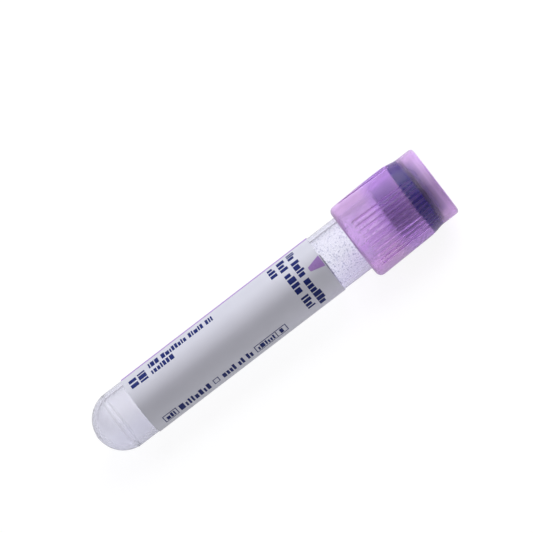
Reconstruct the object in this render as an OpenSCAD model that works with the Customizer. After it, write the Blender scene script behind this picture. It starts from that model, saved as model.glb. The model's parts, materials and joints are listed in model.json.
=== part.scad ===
// Evacuated blood collection tube with a pull-off safety closure, 13 x 75 mm size.
// The tube lies on its side, as it comes to rest: +X runs towards the closure, +Z is up, z = 0 is the
// surface it lies on, and the origin is under the middle of its length. Each sub-part is drawn upright
// about its own axis, from the tube's round bottom, and lie_down() then lays it on the surface.

/* [Tube] */
// Length from the round bottom to the rim
tube_length = 75; // [60:1:120]
// Outer diameter
tube_d = 12.1; // [10:0.1:18]
// Thickness of the wall, the round bottom included
tube_wall = 1; // [0.7:0.05:1.3]
// Depth of the bevel that leads the stopper into the bore
rim_lead_in = 0.5; // [0.2:0.05:0.6]
// Width of the round gate mark in the middle of the bottom
gate_d = 2.1; // [1:0.1:3]
// Height of the gate mark above the bottom
gate_h = 0.25; // [0.1:0.05:0.5]

/* [Label] */
// Thickness of the film with its adhesive
label_t = 0.16; // [0.16:0.01:0.25]
// From the round bottom to the label's lower edge
label_bottom = 10.25; // [9.5:0.25:20]
// Bare tube between the label's upper edge and the closure's skirt
label_gap = 6.55; // [3:0.05:12]
// Angle of tube that the label wraps; the rest is the clear window
label_wrap = 292; // [270:1:340]
// Angle from the top of the lying tube round to the label's striped edge
label_edge = 43.5; // [0:0.5:90]

/* [Stopper] */
// Length of the plug inside the bore
plug_length = 5.2; // [4.5:0.1:9]
// Gap between the plug and the bore
plug_clearance = 0.05; // [0.01:0.01:0.1]
// Rubber between the plug's side and the recess in its end
plug_lip = 1.9; // [1.5:0.1:2.3]
// Depth of the recess in the plug's end
plug_recess = 2; // [1:0.1:3]
// Thickness of the flange that seals on the rim
flange_t = 2.5; // [2:0.1:3.5]
// Height of the bead above the closure's inner ledge
bead_t = 1.65; // [1.2:0.05:2]
// Diameter of the needle well in the top of the stopper
well_d = 5.4; // [3:0.1:6]
// Depth of the needle well, below the top of the bead
well_depth = 2.6; // [2:0.1:3]

/* [Closure] */
// How far the closure's top stands above the stopper's
top_recess = 1.35; // [0.8:0.05:3]
// Length of tube that the skirt covers
skirt_overlap = 13.4; // [11:0.1:20]
// Gap between the skirt and the tube
skirt_clearance = 0.49; // [0.3:0.01:0.8]
// Number of smooth lobes round the skirt, with a flatter grooved side between each two
lobes = 3; // [2:1:3]
// Thickness of the skirt's wall at its open end, to the top of a grooved side's gentle curve
side_wall = 1.16; // [1.1:0.01:1.4]
// How far the axis of that curve lies beyond the closure's own axis
side_shift = 4; // [3.5:0.1:5]
// Width of the flat strip up the middle of a grooved side, on which the tube lies
side_flat = 3.3; // [2:0.1:4]
// Thickness of the skirt's wall at its open end, in the lobes
lobe_wall = 1.83; // [1.7:0.01:2.2]
// Thickness of the skirt's wall where the shoulder starts and it is round
shoulder_wall = 1.54; // [1.4:0.01:1.9]
// Wall of the round band at the top
band_wall = 1.55; // [1.2:0.05:1.8]
// Height of the round band at the top, its rounded edge included
band_h = 3.7; // [3:0.1:4.5]
// Length of the shoulder that slopes in to the band
shoulder_h = 3.4; // [2.5:0.1:4.5]
// Outer edge radius at the skirt's open end
skirt_edge_r = 1.2; // [0.5:0.05:1.2]
// Outer edge radius at the top
top_edge_r = 0.65; // [0.3:0.05:0.8]
// Thickness of the inner ledge that the stopper grips
ledge_t = 0.9; // [0.6:0.05:1.2]
// How far the ledge reaches in past the bead's bore
ledge_reach = 1.1; // [0.8:0.05:1.4]

/* [Grooves] */
// Grooves in each grooved side
side_grooves = 10; // [4:1:10]
// Angle from one groove to the next, about the axis of the side's gentle curve
groove_pitch = 5.5; // [4:0.1:5.5]
// Depth of the grooves
groove_depth = 0.22; // [0.15:0.01:0.4]
// Width of a groove's flat floor
groove_floor_w = 0.42; // [0.3:0.01:0.5]
// Angle by which each side of a groove opens outwards
groove_flank = 20; // [10:1:30]
// Smooth band between the skirt's open end and the grooves
groove_start = 2.05; // [1.5:0.05:3]

/* [Hidden] */
$fn = 96;
arc_steps = 7;        // straight pieces in each rounded edge
neck_clearance = 0.1; // between ledge and neck
bead_clearance = 0.2; // between bead and bore
edge_bevel = 0.3;     // small bevels on rim, bead and bore
side_fade = 0.05;     // how far the grooved sides lie under the round wall where the shoulder starts
side_edge_cut = 0.1;  // how much smaller the edge radius is in the grooved sides than in the lobes

tube_r = tube_d / 2;
bore_r = tube_r - tube_wall;
skirt_end = tube_length - skirt_overlap;
skirt_bore_r = tube_r + skirt_clearance;
side_reach = skirt_bore_r + side_wall;
side_r = side_reach + side_shift;
side_edge_r = skirt_edge_r - side_edge_cut;
lobe_r = skirt_bore_r + lobe_wall;
// Half the angle that a grooved side spans, about the middle of its gentle curve, from lobe to lobe
side_half = acos((side_r ^ 2 + side_shift ^ 2 - lobe_r ^ 2) / (2 * side_r * side_shift));
flat_reach = sqrt(side_r ^ 2 - (side_flat / 2) ^ 2) - side_shift;
shoulder_r = skirt_bore_r + shoulder_wall;
upper_bore_r = tube_r;
band_r = upper_bore_r + band_wall;

flange_top = tube_length + flange_t;
flange_r = skirt_bore_r - plug_clearance;
bead_bottom = flange_top + ledge_t;
bead_top = bead_bottom + bead_t;
closure_top = bead_top + top_recess;
closure_h = closure_top - skirt_end;
shoulder_top = closure_h - band_h;
shoulder_start = shoulder_top - shoulder_h;
ledge_r = upper_bore_r - ledge_reach;
neck_r = ledge_r - neck_clearance;
bead_r = upper_bore_r - bead_clearance;
plug_r = bore_r - plug_clearance;
recess_r = plug_r - plug_lip;

// The tube rests on the label's lower edge, or on its round bottom where that reaches lower, and on the
// skirt's edge at the flat strip of a grooved side.
edge_along = skirt_end + side_edge_r;
edge_out = flat_reach - side_edge_r;
rest_tilt = min(tilt_on(label_bottom, tube_r + label_t, 0), tilt_on(tube_r, 0, tube_r));
low_x = -gate_h * cos(rest_tilt) - gate_d / 2 * sin(rest_tilt);
high_x = (closure_top - top_edge_r) * cos(rest_tilt) + (band_r - top_edge_r) * sin(rest_tilt)
    + top_edge_r;
middle_x = (low_x + high_x) / 2;
low_z = edge_out * cos(rest_tilt) + side_edge_r - edge_along * sin(rest_tilt);

// How far the axis tilts when the tube lies on the skirt's edge and on a round edge of radius r, whose
// centre is along mm up the axis and out mm from it
function tilt_on(along, out, r) =
    let (a = edge_along - along, o = edge_out - out) atan2(o, a) + asin((side_edge_r - r) / norm([a, o]));

// Points of an arc about (x, y), from angle a to angle b
function arc(x, y, r, a, b) =
    [for (i = [0:arc_steps]) let (t = a + (b - a) * i / arc_steps) [x + r * cos(t), y + r * sin(t)]];

// The shoulder's soft S from radius r down to the band, leaving out its first point
function shoulder(r) =
    [for (i = [1:arc_steps]) let (t = i / arc_steps)
        [band_r + (r - band_r) * (1 + cos(180 * t)) / 2, shoulder_start + shoulder_h * t]];

// Lays a sub-part drawn upright on its side, as the tube comes to rest
module lie_down() {
    translate([-middle_x, 0, low_z]) rotate([0, 90 - rest_tilt, 0]) children();
}

// Half section of a test tube's solid: a round bottom of radius r about height r + lift, up to height h
module round_bottomed(r, lift, h) {
    intersection() {
        translate([0, lift + r]) circle(r);
        translate([0, lift]) square(r);
    }
    translate([0, lift + r]) square([r, h - lift - r]);
}

// Half section of the closure's wall and ledge, as it is in the lobes
module wall_section() {
    ledge_bottom = flange_top - skirt_end;
    polygon(concat(
        [[skirt_bore_r, 0]],
        arc(lobe_r - skirt_edge_r, skirt_edge_r, skirt_edge_r, -90, 0),
        [[shoulder_r, shoulder_start]],
        shoulder(shoulder_r),
        arc(band_r - top_edge_r, closure_h - top_edge_r, top_edge_r, 0, 90),
        [
            [upper_bore_r + edge_bevel, closure_h], [upper_bore_r, closure_h - edge_bevel],
            [upper_bore_r, ledge_bottom + ledge_t], [ledge_r, ledge_bottom + ledge_t],
            [ledge_r, ledge_bottom], [skirt_bore_r, ledge_bottom]
        ]
    ));
}

// Half section of what is cut away outside a grooved side that reaches out to r at the open end and meets
// the round wall where the shoulder starts
module outside_section(r) {
    over = closure_h + 1;
    rise = (shoulder_r - side_fade - side_reach) / (shoulder_start - side_edge_r);
    over_r = r + rise * (over - side_edge_r);
    polygon(concat(
        [[over_r + 1, -1], [r - side_edge_r, -1]],
        arc(r - side_edge_r, side_edge_r, side_edge_r, -90, 0),
        [[over_r, over], [over_r + 1, over]]
    ));
}

// Outside the gentle curve of the grooved side at angle 0
module outside_curve() {
    half = side_half + 6;
    translate([-side_shift, 0, 0])
        rotate(-half) rotate_extrude(angle = 2 * half) outside_section(side_r);
}

// Outside the flat strip of the grooved side at angle 0
module outside_flat() {
    rotate([90, 0, 0])
        linear_extrude(side_flat + 1, center = true) outside_section(flat_reach);
}

// What one groove takes away, turn degrees round the grooved side at angle 0. Its floor keeps the same depth
// from the open end to where the shoulder starts.
module groove(turn) {
    x = min(side_r * cos(turn) - side_shift, flat_reach);
    y = side_r * sin(turn);
    outer_w = groove_floor_w + 2 * (groove_depth + edge_bevel) * tan(groove_flank);
    translate([x, y, 0])
        rotate([0, atan2(shoulder_r - norm([x, y]), shoulder_start), turn])
            translate([0, 0, groove_start])
                linear_extrude(shoulder_top + edge_bevel - groove_start)
                    polygon([
                        [-groove_depth, -groove_floor_w / 2], [edge_bevel, -outer_w / 2],
                        [edge_bevel, outer_w / 2], [-groove_depth, groove_floor_w / 2]
                    ]);
}

module tube_body() {
    color([0.86, 0.88, 0.93, 0.4]) lie_down() {
        rotate_extrude() difference() {
            round_bottomed(tube_r, 0, tube_length);
            round_bottomed(bore_r, tube_wall, tube_length + 1);
            polygon([
                [bore_r - 1, tube_length - rim_lead_in - 1], [bore_r, tube_length - rim_lead_in],
                [bore_r + rim_lead_in, tube_length], [bore_r + rim_lead_in, tube_length + 1],
                [bore_r - 1, tube_length + 1]
            ]);
            polygon([
                [tube_r - edge_bevel / 2, tube_length], [tube_r, tube_length - edge_bevel / 2],
                [tube_r + 1, tube_length - edge_bevel / 2], [tube_r + 1, tube_length + 1],
                [tube_r - edge_bevel / 2, tube_length + 1]
            ]);
        }
        translate([0, 0, -gate_h]) cylinder(d = gate_d, h = gate_h + tube_wall / 2);
    }
}

module label() {
    label_length = skirt_end - label_gap - label_bottom;
    color([0.93, 0.94, 0.97]) lie_down()
        rotate([0, 0, 180 - label_edge])
            rotate_extrude(angle = label_wrap)
                translate([tube_r, label_bottom]) square([label_t, label_length]);
}

module rubber_stopper() {
    color([0.2, 0.18, 0.34]) lie_down() rotate_extrude() difference() {
        polygon([
            [recess_r, tube_length - plug_length], [plug_r - edge_bevel, tube_length - plug_length],
            [plug_r, tube_length - plug_length + edge_bevel], [plug_r, tube_length],
            [flange_r, tube_length], [flange_r, flange_top], [neck_r, flange_top],
            [neck_r, bead_bottom], [bead_r, bead_bottom], [bead_r, bead_top - edge_bevel],
            [bead_r - edge_bevel, bead_top], [0, bead_top],
            [0, tube_length - plug_length + plug_recess],
            [recess_r / 2, tube_length - plug_length + plug_recess]
        ]);
        translate([0, bead_top - well_depth]) square([well_d / 2, well_depth + 1]);
    }
}

module safety_cap() {
    color([0.78, 0.62, 0.88, 0.8]) lie_down() translate([0, 0, skirt_end]) difference() {
        difference() {
            difference() {
                rotate_extrude() wall_section();
                for (i = [0:lobes - 1]) rotate(i * 360 / lobes) outside_curve();
            }
            for (i = [0:lobes - 1]) rotate(i * 360 / lobes) outside_flat();
        }
        for (i = [0:lobes - 1], j = [0:side_grooves - 1])
            rotate(i * 360 / lobes) groove((j - (side_grooves - 1) / 2) * groove_pitch);
    }
}

tube_body();
label();
rubber_stopper();
safety_cap();
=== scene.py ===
"""Looks of the blood collection tube: round-bottomed tube, label, stopper and safety closure."""
import json
import math
import random

import bpy
import numpy as np
from mathutils import Matrix, Vector


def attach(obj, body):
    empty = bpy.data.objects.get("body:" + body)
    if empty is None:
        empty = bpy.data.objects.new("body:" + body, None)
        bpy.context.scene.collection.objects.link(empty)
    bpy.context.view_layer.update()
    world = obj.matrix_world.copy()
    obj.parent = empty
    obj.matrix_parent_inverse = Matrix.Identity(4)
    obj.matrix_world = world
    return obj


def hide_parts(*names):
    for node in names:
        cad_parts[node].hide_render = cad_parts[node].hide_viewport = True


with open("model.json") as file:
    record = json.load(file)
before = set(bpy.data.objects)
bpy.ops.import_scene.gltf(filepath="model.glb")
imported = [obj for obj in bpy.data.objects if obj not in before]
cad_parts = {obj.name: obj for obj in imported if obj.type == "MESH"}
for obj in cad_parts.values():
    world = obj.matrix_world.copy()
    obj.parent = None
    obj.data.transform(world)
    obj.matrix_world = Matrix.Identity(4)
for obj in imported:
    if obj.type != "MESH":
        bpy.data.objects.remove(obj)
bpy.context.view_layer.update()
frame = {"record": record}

# ---------------------------------------------------------------- the tube's own frame
# s runs along the axis from the round bottom, in metres; an angle runs round it from the top
# of the lying tube (0) towards +Y (90 degrees).
mounts = {m["name"]: m for m in frame["record"]["mounts"]}
MM = 0.001
LABEL = (10.25 * MM, 55.05 * MM)
AXIS = -Vector(mounts["barrel"]["axis"]).normalized()
FOOT = Vector(mounts["barrel"]["pos_m"]) - AXIS * (LABEL[0] + LABEL[1]) / 2
SIDE = Vector((0, 1, 0))
TOP = AXIS.cross(SIDE).normalized()


def at(s, r, deg):
    a = math.radians(deg)
    return FOOT + AXIS * s + (TOP * math.cos(a) + SIDE * math.sin(a)) * r


# ---------------------------------------------------------------- sizes, from the CAD part
TUBE_R, BORE_R, WALL = 6.05 * MM, 5.05 * MM, 1.0 * MM
TUBE_L = 75 * MM
LABEL_R = 6.21 * MM
SKIRT = 61.6 * MM
SKIRT_BORE = 6.54 * MM
SIDE_REACH, SIDE_SHIFT, SIDE_FLAT = 7.70 * MM, 4.0 * MM, 3.3 * MM
LOBE_R, SHOULDER_R, BAND_R = 8.37 * MM, 8.08 * MM, 7.6 * MM
CAP_H, SHOULDER_LOW, SHOULDER_H = 19.8 * MM, 12.7 * MM, 3.4 * MM
EDGE, TOP_EDGE = 1.2 * MM, 0.65 * MM
LEDGE_R, UPPER_BORE = 4.95 * MM, 6.05 * MM
LEDGE = (15.9 * MM, 16.8 * MM)
# The squeezed rubber's plug, flange and neck reach a hair into the plastic that they press on
PLUG_R, FLANGE_R, NECK_R, BEAD_R = 5.07 * MM, 6.57 * MM, 4.98 * MM, 5.85 * MM
PLUG_END, FLANGE_TOP, BEAD_LOW, BEAD_TOP = 69.8 * MM, 77.53 * MM, 78.37 * MM, 80.05 * MM
RECESS_R, RECESS_FLAT_R, RECESS_TOP = 3.1 * MM, 1.55 * MM, 71.8 * MM
WELL_R, WELL_FLOOR = 2.7 * MM, BEAD_TOP - 2.6 * MM


# ---------------------------------------------------------------- mesh helpers
def mesh_object(name, verts, faces, smooth=True):
    me = bpy.data.meshes.new(name)
    me.from_pydata([tuple(v) for v in verts], [], faces)
    me.validate()
    me.update()
    ob = bpy.data.objects.new(name, me)
    bpy.context.scene.collection.objects.link(ob)
    for p in me.polygons:
        p.use_smooth = smooth
    return ob


def sharp_over(ob, deg):
    """Shades the edges that turn by more than deg degrees as sharp."""
    ob.data.set_sharp_from_angle(angle=math.radians(deg))


def carry(ob, name, values):
    """Gives the mesh a share, 0 to 1, at each of its points, for its material to read."""
    ob.data.attributes.new(name, "FLOAT", "POINT").data.foreach_set("value", values)


def arc(cx, cy, r, a, b, n):
    return [(cx + r * math.cos(math.radians(a + (b - a) * i / n)),
             cy + r * math.sin(math.radians(a + (b - a) * i / n))) for i in range(n + 1)]


def stepped(r, s, steps):
    """The point (r, s) moved by each of the steps, in millimetres."""
    return [(r + dr * MM, s + ds * MM) for dr, ds in steps]


def ease(t):
    """0 to 1 as t goes from 0 to 1, level at both ends."""
    return t * t * (3 - 2 * t)


def rounded(points, radii, n=4):
    """A closed outline of (r, s) points with its corners rounded."""
    out = []
    count = len(points)
    for i, (p, rad) in enumerate(zip(points, radii)):
        if rad <= 0:
            out.append(p)
            continue
        p0, p1, p2 = Vector(points[i - 1]), Vector(p), Vector(points[(i + 1) % count])
        a, b = (p0 - p1).normalized(), (p2 - p1).normalized()
        half = a.angle(b) / 2
        run = rad / math.tan(half)
        centre = p1 + (a + b).normalized() * rad / math.sin(half)
        t0, t1 = p1 + a * run - centre, p1 + b * run - centre
        turn = t0.angle(t1)
        axis = 1 if t0.x * t1.y - t0.y * t1.x > 0 else -1
        for k in range(n + 1):
            w = axis * turn * k / n
            out.append((centre.x + t0.x * math.cos(w) - t0.y * math.sin(w),
                        centre.y + t0.x * math.sin(w) + t0.y * math.cos(w)))
    return out


def lathe(name, outline, steps, closed=True):
    """Turns an outline of (r, s) points about the tube's axis. Points with r = 0 become one point."""
    verts, rings = [], []
    for r, s in outline:
        if r < 1e-9:
            rings.append([len(verts)] * steps)
            verts.append(at(s, 0, 0))
        else:
            rings.append(list(range(len(verts), len(verts) + steps)))
            verts += [at(s, r, 360 * k / steps) for k in range(steps)]
    faces = []
    pairs = list(zip(rings, rings[1:])) + ([(rings[-1], rings[0])] if closed else [])
    for a, b in pairs:
        for k in range(steps):
            j = (k + 1) % steps
            f = []
            for v in (a[k], b[k], b[j], a[j]):
                if v not in f:
                    f.append(v)
            if len(f) > 2:
                faces.append(f)
    return mesh_object(name, verts, faces)


# ---------------------------------------------------------------- node helpers
def material(name):
    m = bpy.data.materials.new(name)
    m.use_nodes = True
    nt = m.node_tree
    return m, nt, nt.nodes["Principled BSDF"]


def noise(nt, scale, detail):
    node = nt.nodes.new("ShaderNodeTexNoise")
    node.inputs["Scale"].default_value = scale
    node.inputs["Detail"].default_value = detail
    nt.links.new(nt.nodes.new("ShaderNodeTexCoord").outputs["Object"], node.inputs["Vector"])
    return node.outputs["Fac"]


def bump(nt, bsdf, source, strength, distance):
    node = nt.nodes.new("ShaderNodeBump")
    node.inputs["Strength"].default_value = strength
    node.inputs["Distance"].default_value = distance
    nt.links.new(source, node.inputs["Height"])
    nt.links.new(node.outputs["Normal"], bsdf.inputs["Normal"])


def srgb(r, g, b):
    def lin(c):
        c /= 255
        return c / 12.92 if c <= 0.04045 else ((c + 0.055) / 1.055) ** 2.4
    return (lin(r), lin(g), lin(b), 1)


def ramp(nt, source, stops):
    """Runs through the stops of (position, colour) as the source goes from 0 to 1."""
    node = nt.nodes.new("ShaderNodeValToRGB")
    keys = node.color_ramp.elements
    while len(keys) < len(stops):
        keys.new(0.5)
    for key, (position, colour) in zip(keys, stops):
        key.position = position
        key.color = colour
    nt.links.new(source, node.inputs["Fac"])
    return node.outputs["Color"]


def mapped(nt, source, low, high, to_low, to_high):
    node = nt.nodes.new("ShaderNodeMapRange")
    node.inputs["From Min"].default_value = low
    node.inputs["From Max"].default_value = high
    node.inputs["To Min"].default_value = to_low
    node.inputs["To Max"].default_value = to_high
    nt.links.new(source, node.inputs["Value"])
    return node.outputs["Result"]


def between(nt, share, low, high, kind="FLOAT"):
    """low where the share is 0 and high where it is 1; each may be a value or a socket."""
    node = nt.nodes.new("ShaderNodeMix")
    node.data_type = kind
    nt.links.new(share, node.inputs["Factor"])
    for name, value in (("A", low), ("B", high)):
        if isinstance(value, bpy.types.NodeSocket):
            nt.links.new(value, node.inputs[name])
        else:
            node.inputs[name].default_value = value
    return node.outputs["Result"]


def facing(nt, source, way):
    """How far the source points the way given, from -1 to 1, or its run that way for a place."""
    node = nt.nodes.new("ShaderNodeVectorMath")
    node.operation = "DOT_PRODUCT"
    nt.links.new(source, node.inputs[0])
    node.inputs[1].default_value = way
    return node.outputs["Value"]


def along_tube(nt, stops):
    """A value that depends on the place along the tube: stops of (millimetres, value)."""
    low, high = stops[0][0] * MM, stops[-1][0] * MM
    run = facing(nt, nt.nodes.new("ShaderNodeTexCoord").outputs["Object"], AXIS)
    where = mapped(nt, run, AXIS.dot(FOOT) + low, AXIS.dot(FOOT) + high, 0, 1)
    return ramp(nt, where, [((place * MM - low) / (high - low), (value, value, value, 1))
                            for place, value in stops])


def share_of(nt, name):
    """A share, 0 to 1, that the mesh carries at its points."""
    node = nt.nodes.new("ShaderNodeAttribute")
    node.attribute_name = name
    return node.outputs["Fac"]


def milkier_at_edge(nt, clear, edge, start, full):
    """The share of light that goes through: less where the plastic is looked along, as its path is
    longer. It goes from clear to edge as the surface turns from start to full, 1 being edge on."""
    turned = nt.nodes.new("ShaderNodeLayerWeight").outputs["Facing"]
    return between(nt, mapped(nt, turned, start, full, 0, 1), clear, edge)


def absorbs(nt, colour, density):
    node = nt.nodes.new("ShaderNodeVolumeAbsorption")
    node.inputs["Color"].default_value = colour
    node.inputs["Density"].default_value = density
    nt.links.new(node.outputs["Volume"], nt.nodes["Material Output"].inputs["Volume"])


def lets_lamps_through(nt, bsdf, tint):
    """Light from the lamps passes through, tinted, so that what is inside is lit."""
    path = nt.nodes.new("ShaderNodeLightPath")
    thru = nt.nodes.new("ShaderNodeBsdfTransparent")
    thru.inputs["Color"].default_value = tint
    mix = nt.nodes.new("ShaderNodeMixShader")
    nt.links.new(path.outputs["Is Shadow Ray"], mix.inputs["Fac"])
    nt.links.new(bsdf.outputs["BSDF"], mix.inputs[1])
    nt.links.new(thru.outputs["BSDF"], mix.inputs[2])
    nt.links.new(mix.outputs["Shader"], nt.nodes["Material Output"].inputs["Surface"])


def by_ray(nt, lit, seen, mirrored, through):
    """A level that is lit for the light it gives, and seen, mirrored or through where the camera sees it
    straight, in a reflection or through glass."""
    path = nt.nodes.new("ShaderNodeLightPath")
    level = mapped(nt, path.outputs["Is Camera Ray"], 0, 1, lit, seen)
    for kind, value in (("Is Glossy Ray", mirrored), ("Is Transmission Ray", through)):
        level = between(nt, path.outputs[kind], level, value)
    return level


# ---------------------------------------------------------------- materials
# The lists of stops below are of (millimetres along the tube, value)

# Clear moulded plastic: glossy, faintly wavy, a cool grey where it is looked along
HAZE = [(-0.3, 0.76), (5.18, 0.76),  # the round bottom is a little hazy
        (5.3, 0.56), (5.48, 0.56), (5.6, 0.76),  # and more so along its faint ring
        (9, 0.76), (13, 0.87), (61, 0.87),
        (62.5, 0.985), (74, 0.985),  # clear where the closure covers it
        (74.3, 0.75), (75.2, 0.75)]  # frosted at the rim
clear, nt, bsdf = material("clear_plastic")
bsdf.inputs["Base Color"].default_value = (0.99, 0.99, 1, 1)
bsdf.inputs["IOR"].default_value = 1.5
nt.links.new(mapped(nt, noise(nt, 900, 2), 0.3, 0.7, 0.03, 0.06), bsdf.inputs["Roughness"])
bump(nt, bsdf, noise(nt, 180, 3), strength=0.008, distance=0.0003)
outside = milkier_at_edge(nt, along_tube(nt, HAZE), edge=0.62, start=0.45, full=0.95)
nt.links.new(between(nt, share_of(nt, "inside"), outside, 0.99), bsdf.inputs["Transmission Weight"])
absorbs(nt, (0.783, 0.783, 0.86, 1), 500)
lets_lamps_through(nt, bsdf, (0.96, 0.96, 0.97, 1))

# Translucent plastic of the closure: softly glossy outside, where the grooves' flanks scatter the
# light a little. Inside it is milky, but wet-looking and dark where the rubber presses on it. The
# grooves and the part over the plug are tinted deeper, as painted shade.
# Painted shade of the rubber plug: the closure is tinted deeper, outside and inside, where the plug lies
# under it
PLUG_SHADE_OUTSIDE = [(61, 0), (68, 0), (70.5, 1), (75.2, 1), (75.6, 0)]  # tint of the outside over the plug
PLUG_SHADE_INSIDE = [(61, 0), (67.5, 0), (70.5, 1), (75, 1), (75.3, 0)]  # tint of the inside over the plug
POLISH = [(61, 0), (80.1, 0), (80.4, 1), (81.4, 1)]  # glossier round its mouth
# Shares of the light that go through the inside, the outside, and the outside where it is looked along
WITHIN = [(61, 0.985), (67.5, 0.985), (70.5, 0.7), (74.9, 0.68),
          (75.3, 1), (77.4, 1), (77.8, 0.96), (80, 0.96), (80.4, 0.9)]
OUTSIDE = [(61, 0.95), (75, 0.95), (75.4, 0.985), (77.4, 0.985), (78, 0.9), (79, 0.78),
           (79.9, 0.5), (80.2, 0.3), (80.9, 0.3), (81.2, 0.75), (81.4, 0.82)]
GRAZED = [(61, 0.3), (69, 0.3), (71, 0.6), (74.6, 0.7),
          (75.4, 0.85), (77.3, 0.85), (78.4, 0.45), (81.4, 0.3)]
cap_mat, nt, bsdf = material("cap_plastic")
groove, inside = share_of(nt, "groove"), share_of(nt, "inside")
# Painted shade: the grooves are a deeper lavender than the rest of the outside
tone = ramp(nt, groove, [(0, (0.9, 0.62, 1, 1)), (1, (0.8, 0.48, 0.95, 1))])
# Painted shade: the outside is a deeper lavender over the plug, and so is the inside
tone = between(nt, along_tube(nt, PLUG_SHADE_OUTSIDE), tone, (0.74, 0.48, 1, 1), "RGBA")
inside_with_plug_shade = between(nt, along_tube(nt, PLUG_SHADE_INSIDE), (0.99, 0.97, 1, 1), (0.9, 0.72, 1, 1), "RGBA")
nt.links.new(between(nt, inside, tone, inside_with_plug_shade, "RGBA"), bsdf.inputs["Base Color"])
bsdf.inputs["IOR"].default_value = 1.46
bsdf.inputs["Specular IOR Level"].default_value = 0.5
grain = mapped(nt, noise(nt, 1400, 3), 0.3, 0.7, 0.2, 0.25)
rough = between(nt, inside, between(nt, groove, grain, 0.45), 0.22)
nt.links.new(between(nt, along_tube(nt, POLISH), rough, 0.1), bsdf.inputs["Roughness"])
bump(nt, bsdf, noise(nt, 260, 1), strength=0.02, distance=0.0002)
face_on = between(nt, groove, along_tube(nt, OUTSIDE), 0.9)
outside = milkier_at_edge(nt, face_on, edge=along_tube(nt, GRAZED), start=0.1, full=0.6)
nt.links.new(between(nt, inside, outside, along_tube(nt, WITHIN)), bsdf.inputs["Transmission Weight"])
absorbs(nt, (0.99, 0.965, 0.99, 1), 700)
lets_lamps_through(nt, bsdf, (0.82, 0.66, 0.9, 1))

# Dark rubber, matt, with a faint bloom
rubber, nt, bsdf = material("stopper_rubber")
bloom = noise(nt, 500, 4)
tone = ramp(nt, bloom, [(0.35, srgb(36, 19, 116)), (0.7, srgb(46, 28, 134))])
nt.links.new(tone, bsdf.inputs["Base Color"])
bsdf.inputs["Roughness"].default_value = 0.6
bsdf.inputs["Specular IOR Level"].default_value = 0.15
bump(nt, bsdf, bloom, strength=0.2, distance=0.0001)

# White label film: satin, faintly translucent, with a fine paper-like grain
film, nt, bsdf = material("label_film")
grain = noise(nt, 2600, 3)
patches = ramp(nt, noise(nt, 160, 2), [(0, srgb(228, 229, 236)), (1, srgb(238, 239, 245))])
nt.links.new(patches, bsdf.inputs["Base Color"])
nt.links.new(mapped(nt, grain, 0.3, 0.7, 0.38, 0.5), bsdf.inputs["Roughness"])
bump(nt, bsdf, grain, strength=0.15, distance=0.00003)
bsdf.inputs["Coat Weight"].default_value = 0.6
bsdf.inputs["Coat Roughness"].default_value = 0.2
lets_lamps_through(nt, bsdf, (0.7, 0.7, 0.72, 1))


def ink_material(name, low, high, rough):
    mat, nt, bsdf = material(name)
    nt.links.new(ramp(nt, noise(nt, 3200, 2), [(0.3, low), (0.7, high)]), bsdf.inputs["Base Color"])
    bsdf.inputs["Roughness"].default_value = rough
    bsdf.inputs["Specular IOR Level"].default_value = 0.2
    return mat


navy = ink_material("navy_ink", srgb(20, 34, 100), srgb(32, 48, 120), 0.4)
lilac = ink_material("lavender_ink", srgb(178, 138, 208), srgb(190, 152, 218), 0.42)

# Spray-dried additive: tiny whitish, nearly clear, glossy spots
additive, nt, bsdf = material("dried_additive")
spots = ramp(nt, noise(nt, 3000, 2), [(0, srgb(222, 223, 236)), (1, srgb(246, 247, 252))])
nt.links.new(spots, bsdf.inputs["Base Color"])
bsdf.inputs["Roughness"].default_value = 0.2
bsdf.inputs["Transmission Weight"].default_value = 0.92
bsdf.inputs["IOR"].default_value = 1.06
lets_lamps_through(nt, bsdf, (0.9, 0.9, 0.92, 1))

# ---------------------------------------------------------------- tube body
GATE_R, GATE_H = 1.8 * MM, 0.06 * MM
RING_S, RING_H = 5.4 * MM, 0.05 * MM
WALL_RINGS = [s * MM for s in (9, 14, 22, 30, 38, 46, 54, 62, 70)]


def low_end(r):
    """The round bottom with a soft-edged gate mark at its middle."""
    dome = TUBE_R - math.sqrt(TUBE_R * TUBE_R - r * r)
    return dome - GATE_H * ease(max(0.0, 1 - r / GATE_R))


def on_inner_wall(place):
    """Whether a point of the tube is inside it, its lead-in included; the margins are under its wall."""
    along = AXIS.dot(place - FOOT)
    radius = (place - FOOT - AXIS * along).length
    in_dome = (place - FOOT - AXIS * TUBE_R).length < BORE_R + 0.1 * MM
    return radius < BORE_R + 0.6 * MM and along > 0.9 * MM and (along > TUBE_R or in_dome)


outline = [(r, low_end(r)) for r in np.linspace(0, GATE_R, 19)]
outline += [(r, s) for r, s in arc(0, TUBE_R, TUBE_R, -90, 0, 28)
            if r > GATE_R + 0.1 * MM and s < RING_S - 0.2 * MM]
# A faint ring line round the bottom: (millimetres from its middle, share of its height)
for step, rise in ((-0.14, 0), (-0.07, 0.8), (0, 1), (0.07, 0.8), (0.14, 0)):
    s = RING_S + step * MM
    outline.append((math.sqrt(TUBE_R ** 2 - (TUBE_R - s) ** 2) + rise * RING_H, s))
outline.append((TUBE_R, TUBE_R))
outline += [(TUBE_R, s) for s in WALL_RINGS]
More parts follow.
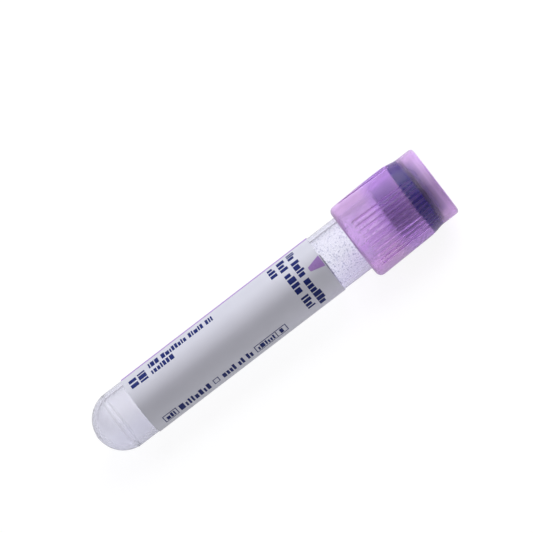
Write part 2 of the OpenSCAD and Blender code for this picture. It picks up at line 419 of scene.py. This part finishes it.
# The rim: a rounded outer corner and a lead-in to the bore
outline += stepped(TUBE_R, TUBE_L, ((0, -0.15), (-0.05, -0.05), (-0.15, 0)))
outline += stepped(BORE_R, TUBE_L, ((0.5, 0), (0.42, -0.05), (0.05, -0.45), (0, -0.55)))
outline += [(BORE_R, s) for s in reversed(WALL_RINGS)]
outline += arc(0, WALL + BORE_R, BORE_R, 0, -90, 26)[:-1] + [(0, WALL)]
tube = lathe("clear_tube", outline, 192, closed=False)
carry(tube, "inside", [float(on_inner_wall(v.co)) for v in tube.data.vertices])
tube.data.materials.append(clear)
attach(tube, "tube")
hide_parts("tube_body")

# ---------------------------------------------------------------- label
# The sweep of the film, in degrees from the top of the lying tube
STRIPED_EDGE, WRAP = 43.5, 292
FILM = (STRIPED_EDGE - WRAP, STRIPED_EDGE)
STEP_DEG = 1.5  # of the film's and the ink's mesh, round the tube


def strip(s0, s1, span, r0, r1, rows):
    """A closed curved strip of film or ink round the tube. span(t) gives its two edges, in degrees,
    at share t of the way from s0 to s1."""
    ends = [span(i / rows) for i in range(rows + 1)]
    n = max(2, int(max(abs(b - a) for a, b in ends) / STEP_DEG))
    verts, faces = [], []
    for r in (r0, r1):
        for i, (a0, a1) in enumerate(ends):
            for k in range(n + 1):
                verts.append(at(s0 + (s1 - s0) * i / rows, r, a0 + (a1 - a0) * k / n))
    row, layer = n + 1, (n + 1) * (rows + 1)
    for i in range(rows):
        for k in range(n):
            a = i * row + k
            faces.append((a, a + 1, a + 1 + row, a + row))
            b = a + layer
            faces.append((b, b + row, b + row + 1, b + 1))
    for k in range(n):
        a, b = k, rows * row + k
        faces.append((a, a + layer, a + layer + 1, a + 1))
        faces.append((b, b + 1, b + 1 + layer, b + layer))
    for i in range(rows):
        a, b = i * row, i * row + n
        faces.append((a, a + row, a + row + layer, a + layer))
        faces.append((b, b + layer, b + row + layer, b + row))
    return verts, faces


def joined(name, parts):
    verts, faces = [], []
    for v, f in parts:
        faces += [tuple(i + len(verts) for i in face) for face in f]
        verts += v
    ob = mesh_object(name, verts, faces)
    sharp_over(ob, 35)
    return ob


label = joined("label_sheet", [strip(LABEL[0], LABEL[1], lambda t: FILM, TUBE_R, LABEL_R, 11)])
label.data.materials.append(film)
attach(label, "tube")
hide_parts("label")

# Print on the film: plain blocks in rows, with no lettering, and frames round some of them.
# Places are in millimetres along the tube, and angles are counted from the middle of the side
# that carries it.
INK = (LABEL_R - 0.03 * MM, LABEL_R + 0.012 * MM)
FACE = -45.5
DEG_PER_MM = math.degrees(MM / LABEL_R)
INK_STEP = 4  # of the ink's mesh, along the tube
FRAME_LINE = 0.17
BLOCK_SIZES, GROUP_GAP = (0.7, 1, 1, 1.35), 0.7  # in shares of a plain block
CUT_OFF = (0, 0, 0.24)  # share of the row's height that a block is lower by


def ink(s0, s1, a0, a1):
    rows = max(1, round((s1 - s0) / INK_STEP))
    return strip(s0 * MM, s1 * MM, lambda t: (FACE + a0, FACE + a1), *INK, rows)


def frame_of(s0, s1, a0, a1):
    line = FRAME_LINE
    w = line * DEG_PER_MM
    return [ink(s0, s0 + line, a0, a1), ink(s1 - line, s1, a0, a1),
            ink(s0 + line, s1 - line, a0, a0 + w), ink(s0 + line, s1 - line, a1 - w, a1)]


def blocks(start, end, groups, gap):
    """Splits the run from start to end into groups of blocks, a wider space between two groups."""
    sizes = [[random.choice(BLOCK_SIZES) for i in range(count)] for count in groups]
    total = sum(map(sum, sizes)) + (len(groups) - 1) * GROUP_GAP
    unit = (end - start) / total
    place, out = start, []
    for group in sizes:
        for size in group:
            out.append((place + gap * unit / 2, place + (size - gap / 2) * unit))
            place += size * unit
        place += GROUP_GAP * unit
    return out


random.seed(11)


def row_round(s0, s1, a0, a1, groups, gap=0.26):
    """A row that runs round the tube; some blocks are lower than the row."""
    return [ink(s0, s1 - random.choice(CUT_OFF) * (s1 - s0), a, b)
            for a, b in blocks(a0, a1, groups, gap)]


def row_along(s0, s1, a0, a1, groups, gap=0.26):
    """A row that runs along the tube; some blocks are lower than the row."""
    return [ink(a, b, a0, a1 - random.choice(CUT_OFF) * (a1 - a0))
            for a, b in blocks(s0, s1, groups, gap)]


# The long row near the label's lower side, and the frames on it with their smaller blocks
LOW_ROW, FRAMED, SMALL = (-61.5, -44.5), (-63, -43), (-59.5, -46.5)
marks = row_round(49.7, 51.4, -62, 68, (6, 4, 3), 0.2)
marks += row_round(47.3, 49.0, -52, 66, (4, 4, 3))
marks += row_round(45.1, 46.6, 37, 66, (3,))
marks += row_round(13.5, 15.25, 32, 56, (3,), 0.22) + row_round(11.4, 13.1, 32, 56, (2,), 0.22)
marks += row_along(16.2, 31.7, 48, 62, (3, 8, 5, 3)) + row_along(16.1, 21.6, 33, 44, (7,))
marks += frame_of(12.5, 15.7, *FRAMED) + row_along(13.0, 15.2, *SMALL, (3,))
marks += row_along(16.1, 23.7, *LOW_ROW, (8,), 0.3)
marks += frame_of(24.4, 25.7, -60, -46)
marks += row_along(26.4, 33.8, *LOW_ROW, (4, 2, 2), 0.3)
marks += frame_of(34.5, 39.6, *FRAMED) + frame_of(39.43, 42.0, *FRAMED)
marks += row_along(35.0, 39.1, *SMALL, (6,)) + row_along(40.2, 41.2, *SMALL, (1,))
marks = joined("label_marks", marks)
marks.data.materials.append(navy)

# Stripe along the film's edge, and an arrow that points from its closure end
STRIPE = (FACE + 75.5, FACE + 88.5)
STRIPE_INSET = 0.02 * MM
ARROW, ARROW_MIDDLE, ARROW_TIP = (52.0 * MM, 54.95 * MM), FACE + 10, 0.37
ARROW_HALF = 1.22 * DEG_PER_MM


def arrow(t):
    """The arrow's two edges: narrow at its blunt tip, where t is 0, and widest at the label's end."""
    half = ARROW_HALF * (ARROW_TIP + (1 - ARROW_TIP) * t)
    return ARROW_MIDDLE - half, ARROW_MIDDLE + half


colour = joined("label_colour", [
    strip(LABEL[0] + STRIPE_INSET, LABEL[1] - STRIPE_INSET, lambda t: STRIPE, *INK, 11),
    strip(*ARROW, arrow, *INK, 6)])
colour.data.materials.append(lilac)
for piece in (marks, colour):
    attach(piece, "tube")

# ---------------------------------------------------------------- dried additive
# Flat droplets on the tube's inner wall, where the plug doesn't touch it
DROP_COUNT, DROP_SIDES = 4200, 7
DROPS_FROM, DROPS_TO = 10.8, 69.3
DROP_RADII = (0.07, 0.09, 0.12, 0.15, 0.18)
DROP_H = 0.04 * MM
DROP_RINGS = ((1, 0.1), (0.8, 0.6), (0.4, 0.95))  # shares of its radius and height
DROP_BASE = 0.08  # share of its height at which its underside's middle lies


def droplet(s, deg, size):
    verts, faces = [], []
    n = DROP_SIDES
    for share, rise in DROP_RINGS:
        for k in range(n):
            w = 2 * math.pi * k / n
            verts.append(at(s + size * share * math.cos(w), BORE_R - DROP_H * rise,
                            deg + math.degrees(size * share * math.sin(w) / BORE_R)))
    top, base = len(verts), len(verts) + 1
    verts += [at(s, BORE_R - DROP_H, deg), at(s, BORE_R - DROP_H * DROP_BASE, deg)]
    for ring in (0, n):
        for k in range(n):
            j = (k + 1) % n
            faces.append((ring + k, ring + n + k, ring + n + j, ring + j))
    for k in range(n):
        j = (k + 1) % n
        faces.append((2 * n + k, top, 2 * n + j))
        faces.append((j, base, k))
    return verts, faces


drops = []
for i in range(DROP_COUNT):
    s = random.uniform(DROPS_FROM, DROPS_TO) * MM
    drops.append(droplet(s, random.uniform(0, 360), random.choice(DROP_RADII) * MM))
drops = joined("additive_droplets", drops)
drops.data.materials.append(additive)
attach(drops, "tube")

# ---------------------------------------------------------------- stopper
# Corners of its outline, from the recess round the outside to the well and back, each with the
# radius that rounds it, in millimetres
CORNERS = (
    ((RECESS_R, PLUG_END), 0.2), ((PLUG_R, PLUG_END), 0.35), ((PLUG_R, TUBE_L), 0.15),
    ((FLANGE_R, TUBE_L), 0.15), ((FLANGE_R, FLANGE_TOP), 0.2), ((NECK_R, FLANGE_TOP), 0.2),
    ((NECK_R, BEAD_LOW), 0.15), ((BEAD_R, BEAD_LOW), 0.15), ((BEAD_R, BEAD_TOP), 0.35),
    ((WELL_R, BEAD_TOP), 0.25), ((WELL_R, WELL_FLOOR), 0.3), ((0, WELL_FLOOR), 0),
    ((0, RECESS_TOP), 0), ((RECESS_FLAT_R, RECESS_TOP), 0.5))
outline = rounded([corner for corner, radius in CORNERS], [radius * MM for corner, radius in CORNERS])
stopper = lathe("dark_stopper", outline, 128)
sharp_over(stopper, 40)
stopper.data.materials.append(rubber)
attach(stopper, "closure")
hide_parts("rubber_stopper")

# ---------------------------------------------------------------- closure
SIDE_R = SIDE_REACH + SIDE_SHIFT
FLAT_REACH = math.sqrt(SIDE_R ** 2 - (SIDE_FLAT / 2) ** 2) - SIDE_SHIFT
SIDE_EDGE = 1.1 * MM
RISE = (SHOULDER_R - 0.05 * MM - SIDE_REACH) / (SHOULDER_LOW - SIDE_EDGE)
LOBES, LOBE_STEPS = 3, 18
HALF_SIDE = 180 / LOBES
# Grooves of one side: pitch in degrees, count, depth, half width, and the width of a flank
PITCH, GROOVES, DEPTH = 5.5, 10, 0.22 * MM
GROOVE_HALF, FLANK = 0.33 * MM, 0.14 * MM
GROOVE_LOW, GROOVE_TOP = 1.95 * MM, 16.4 * MM
# A groove's end deepens over RUN_IN, its cut is at most DEEPEST, and its look, its painted shade
# included, fades in and out
RUN_IN, DEEPEST = 0.95 * MM, DEPTH * 1.15
FADE_IN, FADE_OUT = 2.5 * MM, 1.2 * MM
# How softly a side's flat strip meets its curve, and a side meets a lobe
FLAT_BLEND, LOBE_BLEND = 0.06 * MM, 0.12 * MM
# Where the mesh has points across a groove, and up the closure
GROOVE_COLUMNS = [v * MM for v in (-0.37, -0.31, -0.27, -0.22, -0.16, 0, 0.16, 0.22, 0.27, 0.31, 0.37)]
HEIGHTS = [v * MM for v in (0, 0.03, 0.1, 0.22, 0.38, 0.58, 0.82, 1.1, 1.3, 1.6, 1.9, 1.98, 2.06, 2.14,
                            2.22, 2.32, 2.45, 2.6, 2.75, 2.9, 3.3,
                            *np.linspace(4, 12, 9), *np.linspace(12.6, 16.4, 20), 16.8, 17.6, 18.4, 19.0)]


def edge_in(z, r):
    """How far a rounded lower edge of radius r has drawn in at height z."""
    return r - math.sqrt(max(0, r * r - (r - z) ** 2)) if z < r else 0


def round_wall(z):
    if z <= SHOULDER_LOW:
        base = LOBE_R + (SHOULDER_R - LOBE_R) * max(0, z - EDGE) / (SHOULDER_LOW - EDGE)
        return base - edge_in(z, EDGE)
    if z <= SHOULDER_LOW + SHOULDER_H:
        t = (z - SHOULDER_LOW) / SHOULDER_H
        return BAND_R + (SHOULDER_R - BAND_R) * (1 + math.cos(math.pi * t)) / 2
    return BAND_R


def soft_min(a, b, k):
    h = max(0.0, min(1.0, 0.5 + 0.5 * (b - a) / k))
    return b + (a - b) * h - k * h * (1 - h)


def side_columns():
    """The mesh's columns round one grooved side and half of each lobe beside it: the angle, the
    distance from the nearest groove's middle, and the angle of that middle about the side's own
    centre, which is None on a lobe."""
    columns = []
    for j in range(GROOVES):
        middle = (j - (GROOVES - 1) / 2) * PITCH
        columns += [(middle + math.degrees(w / SIDE_R), abs(w), middle) for w in GROOVE_COLUMNS]
        if j < GROOVES - 1:
            columns.append((middle + PITCH / 2, 1, middle))
    grooved = []
    for turn, off, middle in columns:
        t = math.radians(turn)
        x, y = SIDE_R * math.cos(t) - SIDE_SHIFT, SIDE_R * math.sin(t)
        grooved.append((math.degrees(math.atan2(y, x)), off, middle))
    first, last, n = grooved[0][0], grooved[-1][0], LOBE_STEPS
    lead = [(-HALF_SIDE + (first + HALF_SIDE) * k / n, 1, None) for k in range(n)]
    tail = [(last + (HALF_SIDE - last) * (k + 1) / n, 1, None) for k in range(n - 1)]
    return lead + grooved + tail


def groove_shape(off, middle):
    """Share of the groove's depth at a distance off from its middle: flat floor, soft flanks."""
    if middle is None:
        return 0.0
    return ease(max(0.0, min(1.0, (GROOVE_HALF - off) / FLANK)))


def groove_share(z, off, middle):
    """How much of the groove's look, its painted shade included, a point has; it fades in from the open end
    and out at the top.
    """
    if not GROOVE_LOW < z < GROOVE_TOP:
        return 0.0
    fade = min(1.0, (z - GROOVE_LOW) / FADE_IN) * min(1.0, (GROOVE_TOP - z) / FADE_OUT)
    return groove_shape(off, middle) * fade


def outer(z, deg, off, middle):
    """The outside's distance from the axis at height z."""
    a = math.radians(deg)
    grow = RISE * max(0, z - SIDE_EDGE) - edge_in(z, SIDE_EDGE)
    curve_r = SIDE_R + grow
    curve = math.sqrt(curve_r ** 2 - (SIDE_SHIFT * math.sin(a)) ** 2) - SIDE_SHIFT * math.cos(a)
    flat = (FLAT_REACH + grow) / math.cos(a)
    side = soft_min(curve, flat, FLAT_BLEND)
    r = soft_min(round_wall(z), side, LOBE_BLEND)
    share = groove_shape(off, middle)
    if share > 0 and GROOVE_LOW < z < GROOVE_TOP:
        # The floor runs straight from the open end to where the shoulder starts, and on past it
        m = math.radians(middle)
        start = math.hypot(min(SIDE_R * math.cos(m) - SIDE_SHIFT, FLAT_REACH), SIDE_R * math.sin(m))
        floor = start + (SHOULDER_R - start) * z / SHOULDER_LOW - DEPTH
        cut = min(max(0.0, r - floor), DEEPEST)
        r -= cut * share * ease(min(1.0, (z - GROOVE_LOW) / RUN_IN))
    return r


# The rounded top edge and the mouth's lead-in, then the inside down to the skirt's open end
MOUTH = arc(BAND_R - TOP_EDGE, CAP_H - TOP_EDGE, TOP_EDGE, 0, 90, 7)
MOUTH += stepped(UPPER_BORE, CAP_H, ((0.42, 0), (0.25, -0.05), (0.05, -0.25), (0, -0.42)))
INSIDE = stepped(UPPER_BORE, LEDGE[1], ((0, 0.15), (-0.05, 0.04), (-0.15, 0)))
INSIDE += stepped(LEDGE_R, LEDGE[1], ((0.12, 0), (0.03, -0.03), (0, -0.12)))
INSIDE += stepped(LEDGE_R, LEDGE[0], ((0, 0.12), (0.03, 0.03), (0.12, 0)))
INSIDE += stepped(SKIRT_BORE, LEDGE[0], ((-0.12, 0), (-0.03, -0.03), (0, -0.12)))
INSIDE += [(SKIRT_BORE, z * MM) for z in (13, 10, 7, 4, 2, 0.6)]
INSIDE += stepped(SKIRT_BORE, 0, ((0.02, 0.12), (0.1, 0)))


def closure_mesh():
    # the CAD part's angle 0 is the side it lies on; ours runs from the top
    columns = [(180 - (deg + 360 / LOBES * i), (deg, off, middle))
               for i in range(LOBES) for deg, off, middle in side_columns()]
    n = len(columns)
    verts = [at(SKIRT + z, outer(z, *column), turn) for z in HEIGHTS for turn, column in columns]
    verts += [at(SKIRT + z, r, turn) for r, z in MOUTH + INSIDE for turn, column in columns]
    rows = len(HEIGHTS + MOUTH + INSIDE)
    faces = []
    for row in range(rows):
        a, b = row * n, (row + 1) % rows * n
        for k in range(n):
            j = (k + 1) % n
            faces.append((a + k, a + j, b + j, b + k))
    ob = mesh_object("lavender_closure", verts, faces)
    shares = [groove_share(z, off, middle) for z in HEIGHTS for turn, (deg, off, middle) in columns]
    carry(ob, "groove", shares + [0.0] * (len(verts) - len(shares)))
    inner = len(INSIDE) * n
    carry(ob, "inside", [0.0] * (len(verts) - inner) + [1.0] * inner)
    return ob


cap = closure_mesh()
sharp_over(cap, 50)
cap.data.materials.append(cap_mat)
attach(cap, "closure")
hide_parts("safety_cap")

# ---------------------------------------------------------------- camera
# Its own frame hangs on the tube: it looks square at the angle LOOK round it, leans a little to the
# closure's end, and is turned so that the tube rises to the right. Angles are in degrees.
LOOK, LEAN, TURN = math.radians(-45.5), math.radians(2.29), math.radians(37.49)
AIM_ALONG, AIM_SIDE, DISTANCE = 0.04565, 0.0065, 0.69414
LENS, SENSOR = 244.2, 36

out_dir = TOP * math.cos(LOOK) + SIDE * math.sin(LOOK)
side_dir = -TOP * math.sin(LOOK) + SIDE * math.cos(LOOK)
back = out_dir * math.cos(LEAN) + AXIS * math.sin(LEAN)
along = AXIS * math.cos(LEAN) - out_dir * math.sin(LEAN)
cam_x = along * math.cos(TURN) - side_dir * math.sin(TURN)
cam_y = along * math.sin(TURN) + side_dir * math.cos(TURN)
camera = bpy.data.objects.new("camera", bpy.data.cameras.new("camera"))
bpy.context.scene.collection.objects.link(camera)
camera.data.lens = LENS
camera.data.sensor_width = SENSOR
camera.data.clip_start = 0.01
pose = Matrix((cam_x, cam_y, back)).transposed().to_4x4()
pose.translation = FOOT + along * AIM_ALONG + side_dir * AIM_SIDE + back * DISTANCE
camera.matrix_world = pose
bpy.context.scene.camera = camera

# ---------------------------------------------------------------- floor
FLOOR_HALF = 3
corners = [(x * FLOOR_HALF, y * FLOOR_HALF, 0) for x, y in ((-1, -1), (1, -1), (1, 1), (-1, 1))]
floor = mesh_object("floor", corners, [(0, 1, 2, 3)], smooth=False)
floor_mat, nt, bsdf = material("floor")
bsdf.inputs["Roughness"].default_value = 1
bsdf.inputs["Specular IOR Level"].default_value = 0
bsdf.inputs["Emission Color"].default_value = (1, 1, 1, 1)
nt.links.new(by_ray(nt, lit=0.1, seen=0.9, mirrored=0.4, through=0.6), bsdf.inputs["Emission Strength"])
nt.links.new(by_ray(nt, lit=0.8, seen=0.16, mirrored=0.3, through=0.76), bsdf.inputs["Base Color"])
floor.data.materials.append(floor_mat)

# ---------------------------------------------------------------- lamp and world
# One soft disc lamp over the tube's upper side. Reflections and glass don't show it.
MIDDLE = Vector((0, 0, 0.008))
LAMP_AWAY, LAMP_SIZE, LAMP_WATTS = 0.8, 0.7, 5.9
lamp_place = MIDDLE + (back * 0.19 + side_dir * 0.98 + along * 0.6).normalized() * LAMP_AWAY
disc = bpy.data.lights.new("key", "AREA")
disc.shape = "DISK"
disc.size = LAMP_SIZE
disc.energy = LAMP_WATTS
disc.color = (0.97, 0.985, 1.06)
lamp = bpy.data.objects.new("key", disc)
bpy.context.scene.collection.objects.link(lamp)
lamp.location = lamp_place
lamp.rotation_euler = (MIDDLE - lamp_place).to_track_quat("-Z", "Y").to_euler()
lamp.visible_glossy = lamp.visible_transmission = False

world = bpy.data.worlds.new("world")
bpy.context.scene.world = world
world.use_nodes = True
nt = world.node_tree
background = nt.nodes["Background"]
background.inputs["Color"].default_value = (1, 0.97, 1.04, 1)
# A reflection sees a dim room with a glow at the lamp's place and a broad soft box over the tube,
# each of them (way to it, where its glow starts and is full, strength). Glass shows a sky that
# darkens from the horizon up.
GLOWS = ((lamp_place - MIDDLE, 0.8, 0.97, 1.2), (back * 0.64 + side_dir * 0.77, 0.55, 0.9, 1.6))
direction = nt.nodes.new("ShaderNodeTexCoord").outputs["Generated"]
height = nt.nodes.new("ShaderNodeSeparateXYZ")
nt.links.new(direction, height.inputs[0])
room = mapped(nt, height.outputs["Z"], 0.15, 0.6, 0.5, 0.25)
for way, low, high, strength in GLOWS:
    glow = nt.nodes.new("ShaderNodeMath")
    glow.operation = "ADD"
    nt.links.new(room, glow.inputs[0])
    nt.links.new(mapped(nt, facing(nt, direction, way.normalized()), low, high, 0, strength), glow.inputs[1])
    room = glow.outputs[0]
behind_glass = mapped(nt, height.outputs["Z"], 0, 0.3, 0.6, 0.5)
nt.links.new(by_ray(nt, lit=0.25, seen=1, mirrored=room, through=behind_glass), background.inputs["Strength"])

bpy.context.scene.view_settings.view_transform = "Standard"
